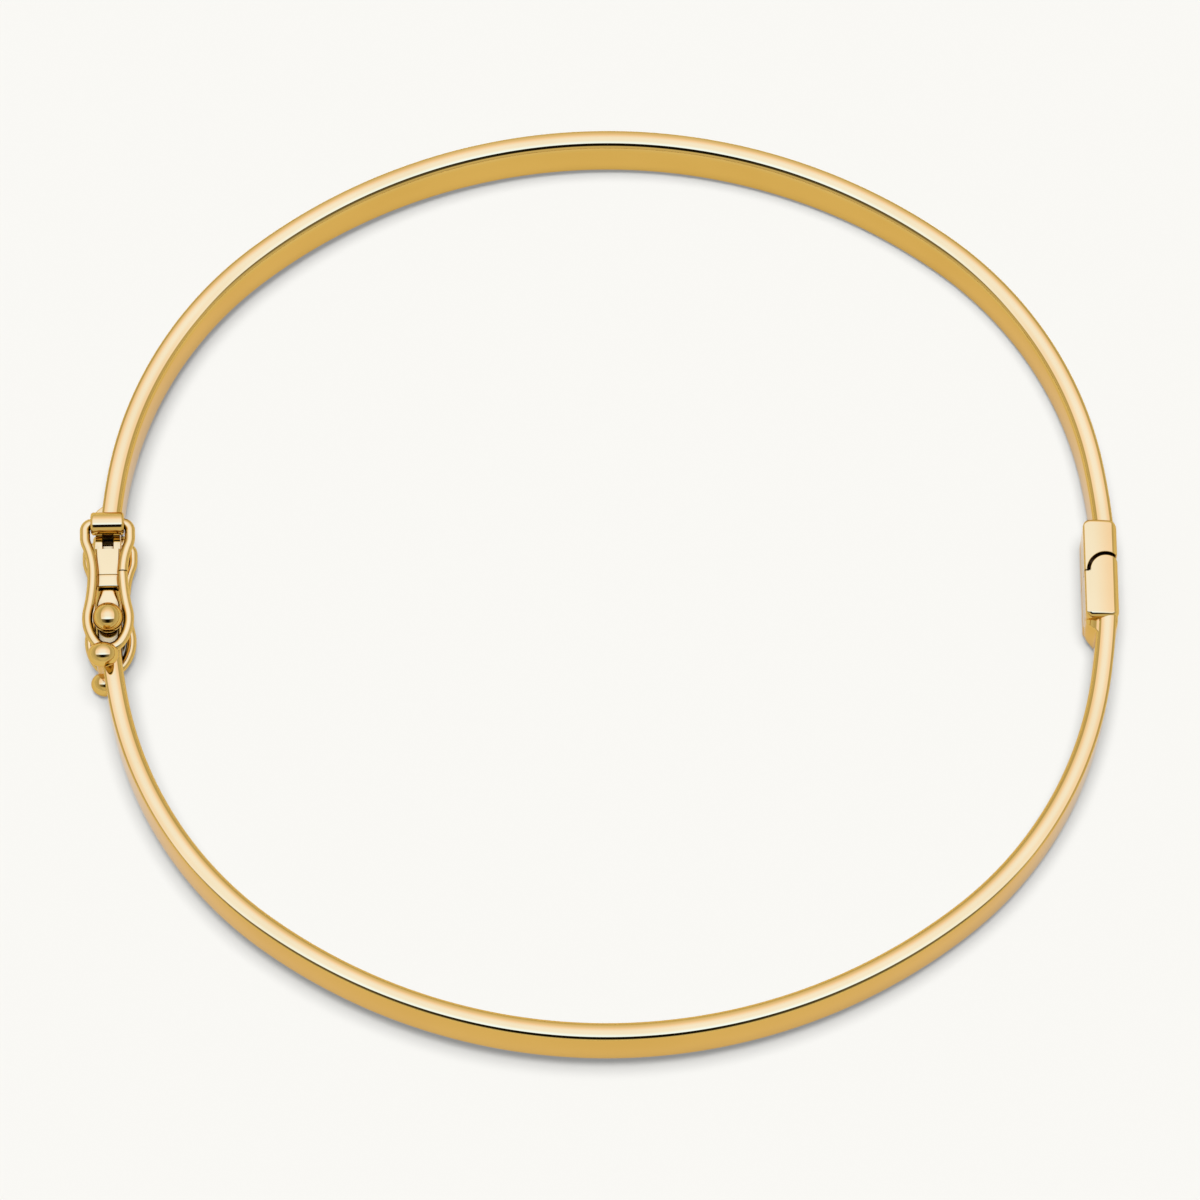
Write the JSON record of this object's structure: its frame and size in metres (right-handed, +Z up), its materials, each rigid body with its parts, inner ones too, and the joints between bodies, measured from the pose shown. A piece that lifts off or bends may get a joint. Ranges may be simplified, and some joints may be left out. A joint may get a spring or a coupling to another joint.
{
  "type": "hinged bangle",
  "caption": "Hollow oval bangle of polished yellow gold in two halves, with a hidden hinge, a box clasp and a figure-eight safety loop on each rim.",
  "frame": {"origin": "on the surface that the closed bangle lies on, under the middle of its box", "axes": "+X from the clasp to the hinge, +Y across the oval towards the half with the box, +Z up from the surface"},
  "size_m": [0.064, 0.0588, 0.008],
  "materials": {
    "polished_gold": "polished yellow gold"
  },
  "bodies": {
    "upper_half": {"upper_half": "polished_gold"},
    "lower_half": {"lower_half": "polished_gold", "hinge_pin": "polished_gold", "clasp_tongue": "polished_gold"},
    "safety_loop_top": {"safety_loop_top": "polished_gold"},
    "safety_loop_bottom": {"safety_loop_bottom": "polished_gold"}
  },
  "joints": [
    {"name": "hinge", "type": "hinge", "parent": "upper_half", "child": "lower_half", "pos_m": [0.03125, -0.00001, 0.00259], "axis": [0.0211, 0.0244, 0.9995], "range_deg": [0, 50]},
    {"name": "loop_top_pivot", "type": "hinge", "parent": "upper_half", "child": "safety_loop_top", "pos_m": [-0.03018, 0.00413, 0.00624], "axis": [-0.9998, 0.0003, 0.0211], "range_deg": [0, 150]},
    {"name": "loop_bottom_pivot", "type": "hinge", "parent": "upper_half", "child": "safety_loop_bottom", "pos_m": [-0.03028, 0.00401, 0.00133], "axis": [0.9998, -0.0003, -0.0211], "range_deg": [0, 150]}
  ]
}
